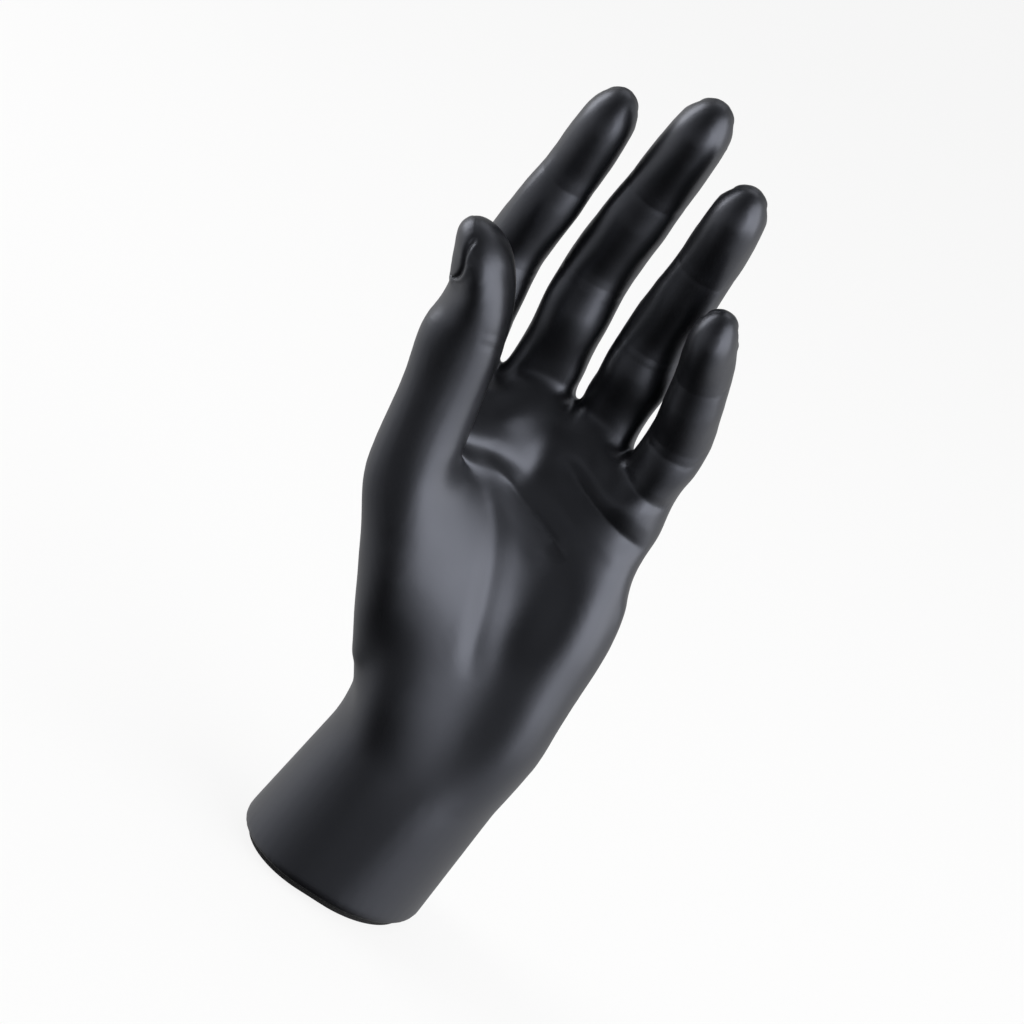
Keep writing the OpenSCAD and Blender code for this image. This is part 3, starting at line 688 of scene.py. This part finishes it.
def rawFibreboard():
    v = boardValues
    material, tree, shader, where = newMaterial("raw sanded fibreboard")
    flat = addNode(tree, "ShaderNodeMapping", {"Vector": where, "Scale": (1, 1, v["lieFlat"])})
    fibre = addNode(tree, "ShaderNodeTexNoise", {"Vector": flat.outputs["Vector"], "Detail": 5.0,
                                                 "Scale": 1 / (v["fibreMm"] * mm), "Distortion": 0.6})
    dust = addNode(tree, "ShaderNodeTexNoise", {"Vector": where, "Scale": 1 / (v["dustMm"] * mm), "Detail": 2.0})
    mixed = addNode(tree, "ShaderNodeMath", {0: dust.outputs["Fac"], 1: v["dustShare"], 2: fibre.outputs["Fac"]},
                    operation="MULTIPLY_ADD")
    ramp = addNode(tree, "ShaderNodeValToRGB", {"Fac": mixed.outputs["Value"]})
    setStops(ramp, [(0.45, linear(v["dark"])), (0.95, linear(v["light"]))])
    rough = addNode(tree, "ShaderNodeMapRange", {"Value": fibre.outputs["Fac"], "To Min": v["roughness"][0],
                                                 "To Max": v["roughness"][1]})
    nap = addNode(tree, "ShaderNodeBump", {"Height": mixed.outputs["Value"], "Strength": v["napStrength"],
                                           "Distance": v["napMm"] * mm})
    setInputs(tree, shader, {"Base Color": ramp.outputs["Color"], "Roughness": rough.outputs["Result"],
                             "Normal": nap.outputs["Normal"]})
    return material


# Moulded ABS with a spark-eroded grain: dull black that breaks any reflection into fine dots
capValues = {
    "dark": "#101012", "light": "#1c1c1f", "cloudMm": 12,
    "grainMm": 0.6, "grainDeepMm": 0.03, "grainStrength": 0.6,      # real grain is finer; this coarse, it shows
    "roughness": (0.5, 0.68),
    "ior": 1.54,
}


def grainedCap():
    v = capValues
    material, tree, shader, where = newMaterial("grained moulded ABS")
    grain = addNode(tree, "ShaderNodeTexVoronoi", {"Vector": where, "Scale": 1 / (v["grainMm"] * mm)})
    cloud = addNode(tree, "ShaderNodeTexNoise", {"Vector": where, "Scale": 1 / (v["cloudMm"] * mm), "Detail": 3.0})
    ramp = addNode(tree, "ShaderNodeValToRGB", {"Fac": cloud.outputs["Fac"]})
    setStops(ramp, [(0.3, linear(v["dark"])), (0.7, linear(v["light"]))])
    rough = addNode(tree, "ShaderNodeMapRange", {"Value": grain.outputs["Distance"], "To Min": v["roughness"][0],
                                                 "To Max": v["roughness"][1]})
    pits = addNode(tree, "ShaderNodeBump", {"Height": grain.outputs["Distance"], "Strength": v["grainStrength"],
                                            "Distance": v["grainDeepMm"] * mm}, invert=True)
    setInputs(tree, shader, {"Base Color": ramp.outputs["Color"], "Roughness": rough.outputs["Result"],
                             "IOR": v["ior"], "Normal": pits.outputs["Normal"]})
    return material


# Zinc-plated steel: bright blue-grey with a faint cloudy passivation
zincValues = {
    "dull": "#a9b3bc", "bright": "#d3d9dd", "cloudMm": 3.0,
    "roughness": (0.38, 0.2),                              # dull and bright places
    "grainMm": 0.25, "grainDeepMm": 0.01, "grainStrength": 0.2,
}


def zincPlate():
    v = zincValues
    material, tree, shader, where = newMaterial("bright zinc-plated steel")
    cloud = addNode(tree, "ShaderNodeTexNoise", {"Vector": where, "Scale": 1 / (v["cloudMm"] * mm), "Detail": 4.0})
    grain = addNode(tree, "ShaderNodeTexNoise", {"Vector": where, "Scale": 1 / (v["grainMm"] * mm), "Detail": 1.0})
    ramp = addNode(tree, "ShaderNodeValToRGB", {"Fac": cloud.outputs["Fac"]})
    setStops(ramp, [(0.3, linear(v["dull"])), (0.7, linear(v["bright"]))])
    rough = addNode(tree, "ShaderNodeMapRange", {"Value": cloud.outputs["Fac"], "From Min": 0.3, "From Max": 0.7,
                                                 "To Min": v["roughness"][0], "To Max": v["roughness"][1]})
    rise = addNode(tree, "ShaderNodeBump", {"Height": grain.outputs["Fac"], "Strength": v["grainStrength"],
                                            "Distance": v["grainDeepMm"] * mm})
    setInputs(tree, shader, {"Base Color": ramp.outputs["Color"], "Roughness": rough.outputs["Result"],
                             "Metallic": 1.0, "Normal": rise.outputs["Normal"]})
    return material


# Turned steel bar: fine tool rings on the faces and round the side, darkened by a film of oil
weightValues = {
    "oiled": "#6d7073", "clean": "#989ca0", "filmMm": 9.0,
    "roughness": (0.26, 0.42),                             # oiled and clean places
    "feedMm": 0.5, "feedDeepMm": 0.01, "feedStrength": 0.35,      # a real cut feeds less; this coarse, it shows
}


def turnedSteel():
    v = weightValues
    material, tree, shader, where = newMaterial("turned oiled steel")
    low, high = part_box("steel_weight")
    middle = [-(a + b) / 2 for a, b in zip(low, high)]
    centred = addNode(tree, "ShaderNodeMapping", {"Vector": where, "Location": (middle[0], middle[1], 0)})
    turn = 2 * math.pi / (20 * v["feedMm"] * mm)           # a wave of scale 1 has a period of 2 pi / 20
    face = addNode(tree, "ShaderNodeTexWave", {"Vector": centred.outputs["Vector"], "Scale": turn},
                   wave_type="RINGS", rings_direction="Z")
    side = addNode(tree, "ShaderNodeTexWave", {"Vector": where, "Scale": turn}, wave_type="BANDS",
                   bands_direction="Z")
    film = addNode(tree, "ShaderNodeTexNoise", {"Vector": where, "Scale": 1 / (v["filmMm"] * mm), "Detail": 3.0})
    ramp = addNode(tree, "ShaderNodeValToRGB", {"Fac": film.outputs["Fac"]})
    setStops(ramp, [(0.35, linear(v["oiled"])), (0.65, linear(v["clean"]))])
    rough = addNode(tree, "ShaderNodeMapRange", {"Value": film.outputs["Fac"], "From Min": 0.35, "From Max": 0.65,
                                                 "To Min": v["roughness"][0], "To Max": v["roughness"][1]})
    rings = addNode(tree, "ShaderNodeBump", {"Height": face.outputs["Fac"], "Strength": v["feedStrength"],
                                             "Distance": v["feedDeepMm"] * mm})
    bands = addNode(tree, "ShaderNodeBump", {"Height": side.outputs["Fac"], "Normal": rings.outputs["Normal"],
                                             "Strength": v["feedStrength"], "Distance": v["feedDeepMm"] * mm})
    setInputs(tree, shader, {"Base Color": ramp.outputs["Color"], "Roughness": rough.outputs["Result"],
                             "Metallic": 1.0, "Normal": bands.outputs["Normal"]})
    return material


# Closed-cell foam rubber: dead matt black skin pocked by tiny cells, with painted shade darkening the cell pits
foamValues = {
    # the first colour is painted shade in the cell pits, the second the foam's own black skin
    "cellPitsAndShade": "#070708", "skin": "#19191b",
    "cellMm": 0.45, "cellDeepMm": 0.1, "cellStrength": 0.7,
    "roughness": (0.82, 0.96), "cloudMm": 6,
}


def foamRubber():
    v = foamValues
    material, tree, shader, where = newMaterial("closed-cell foam rubber")
    cellPitsAndShade = addNode(tree, "ShaderNodeTexVoronoi", {"Vector": where, "Scale": 1 / (v["cellMm"] * mm)})
    cloud = addNode(tree, "ShaderNodeTexNoise", {"Vector": where, "Scale": 1 / (v["cloudMm"] * mm), "Detail": 3.0})
    ramp = addNode(tree, "ShaderNodeValToRGB", {"Fac": cellPitsAndShade.outputs["Distance"]})
    # the pits take the darker colour: painted shade where the bump sinks them
    setStops(ramp, [(0.1, linear(v["cellPitsAndShade"])), (0.6, linear(v["skin"]))])
    rough = addNode(tree, "ShaderNodeMapRange", {"Value": cloud.outputs["Fac"], "To Min": v["roughness"][0],
                                                 "To Max": v["roughness"][1]})
    pits = addNode(tree, "ShaderNodeBump", {"Height": cellPitsAndShade.outputs["Distance"], "Strength": v["cellStrength"],
                                            "Distance": v["cellDeepMm"] * mm})
    setInputs(tree, shader, {"Base Color": ramp.outputs["Color"], "Roughness": rough.outputs["Result"],
                             "Normal": pits.outputs["Normal"]})
    return material


# Matt white paper sweep: a faint tooth, and white to the camera, with enough of its own shade to hold a shadow
floorValues = {
    "paper": "#efefee", "fleck": "#f6f6f5", "toothMm": 1.5,
    "roughness": 0.95,
    "white": 0.86,      # share that is plain white to the camera
}


def paperSweep():
    v = floorValues
    material, tree, shader, where = newMaterial("matt white paper sweep")
    tooth = addNode(tree, "ShaderNodeTexNoise", {"Vector": where, "Scale": 1 / (v["toothMm"] * mm), "Detail": 3.0})
    ramp = addNode(tree, "ShaderNodeValToRGB", {"Fac": tooth.outputs["Fac"]})
    setStops(ramp, [(0, linear(v["paper"])), (1, linear(v["fleck"]))])
    setInputs(tree, shader, {"Base Color": ramp.outputs["Color"], "Roughness": v["roughness"]})
    ray = addNode(tree, "ShaderNodeLightPath")
    share = addNode(tree, "ShaderNodeMath", {0: ray.outputs["Is Camera Ray"], 1: v["white"]}, operation="MULTIPLY")
    glow = addNode(tree, "ShaderNodeEmission", {"Color": (1, 1, 1, 1), "Strength": 1.0})
    mixed = addNode(tree, "ShaderNodeMixShader", {0: share.outputs["Value"], 1: shader.outputs["BSDF"],
                                                  2: glow.outputs["Emission"]})
    setInputs(tree, tree.nodes["Material Output"], {"Surface": mixed.outputs["Shader"]})
    return material


skin.data.materials.clear()
skin.data.materials.append(satinResin())
floor.data.materials.append(paperSweep())
zinc = zincPlate()
finishes = {
    "mouth_ring": rawFibreboard(), "base_cap": grainedCap(), "steel_weight": turnedSteel(),
    "base_pad": foamRubber(), "cap_screws": zinc, "weight_bolt": zinc, "weight_washer": zinc, "weight_nut": zinc,
}
for node, material in finishes.items():
    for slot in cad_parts[node].material_slots:
        slot.material = material


def makeRoom():
    v = stageValues
    world = bpy.data.worlds.new("studio")
    bpy.context.scene.world = world
    world.use_nodes = True
    tree = world.node_tree
    way = addNode(tree, "ShaderNodeTexCoord").outputs["Generated"]
    parts = addNode(tree, "ShaderNodeSeparateXYZ", {"Vector": way})
    height = addNode(tree, "ShaderNodeMapRange", {"Value": parts.outputs["Z"], "From Min": -1.0})
    ramps = []
    for levels in (v["front"], v["behind"]):
        ramp = addNode(tree, "ShaderNodeValToRGB", {"Fac": height.outputs["Result"]})
        setStops(ramp, [((math.sin(math.radians(degrees)) + 1) / 2, (bright, bright, bright, 1))
                        for degrees, bright in levels])
        ramps.append(ramp.outputs["Color"])
    front, behind = ramps

    # the compass direction alone, so that a steep direction counts as the level one under it
    level = addNode(tree, "ShaderNodeVectorMath", {0: way, 1: (1, 1, 0)}, operation="MULTIPLY")
    compass = addNode(tree, "ShaderNodeVectorMath", {0: level.outputs["Vector"]}, operation="NORMALIZE")
    turn = addNode(tree, "ShaderNodeSeparateXYZ", {"Vector": compass.outputs["Vector"]})
    left, right = v["shares"]
    aside = addNode(tree, "ShaderNodeMath", {0: turn.outputs["X"]}, operation="ABSOLUTE")
    even = addNode(tree, "ShaderNodeMath", {0: aside.outputs["Value"], 1: (right + left) / 2,
                                            2: turn.outputs["Y"]}, operation="MULTIPLY_ADD")
    swing = addNode(tree, "ShaderNodeMath", {0: turn.outputs["X"], 1: (right - left) / 2,
                                             2: even.outputs["Value"]}, operation="MULTIPLY_ADD")
    back = addNode(tree, "ShaderNodeMapRange", {"Value": swing.outputs["Value"], "From Min": v["turnOver"][0],
                                                "From Max": v["turnOver"][1]}, interpolation_type="SMOOTHSTEP")

    deep = addNode(tree, "ShaderNodeMath", {0: turn.outputs["Y"], 1: 0}, operation="MAXIMUM")
    square = addNode(tree, "ShaderNodeMath", {0: deep.outputs["Value"], 1: deep.outputs["Value"]},
                     operation="MULTIPLY")
    dusk = addNode(tree, "ShaderNodeMath", {0: square.outputs["Value"], 1: v["farDusk"]}, operation="MULTIPLY")
    far = addNode(tree, "ShaderNodeMix", {"Factor": dusk.outputs["Value"], 6: behind, 7: (0, 0, 0, 1)},
                  data_type="RGBA")
    room = addNode(tree, "ShaderNodeMix", {"Factor": back.outputs["Result"], 6: front, 7: far.outputs[2]},
                   data_type="RGBA")
    ray = addNode(tree, "ShaderNodeLightPath")
    seen = addNode(tree, "ShaderNodeMix", {"Factor": ray.outputs["Is Camera Ray"], 6: room.outputs[2],
                                           7: linear(v["backdrop"])}, data_type="RGBA")
    setInputs(tree, tree.nodes["Background"], {"Color": seen.outputs[2]})


makeRoom()
bpy.context.scene.view_settings.view_transform = "Standard"
print("stage and materials done")
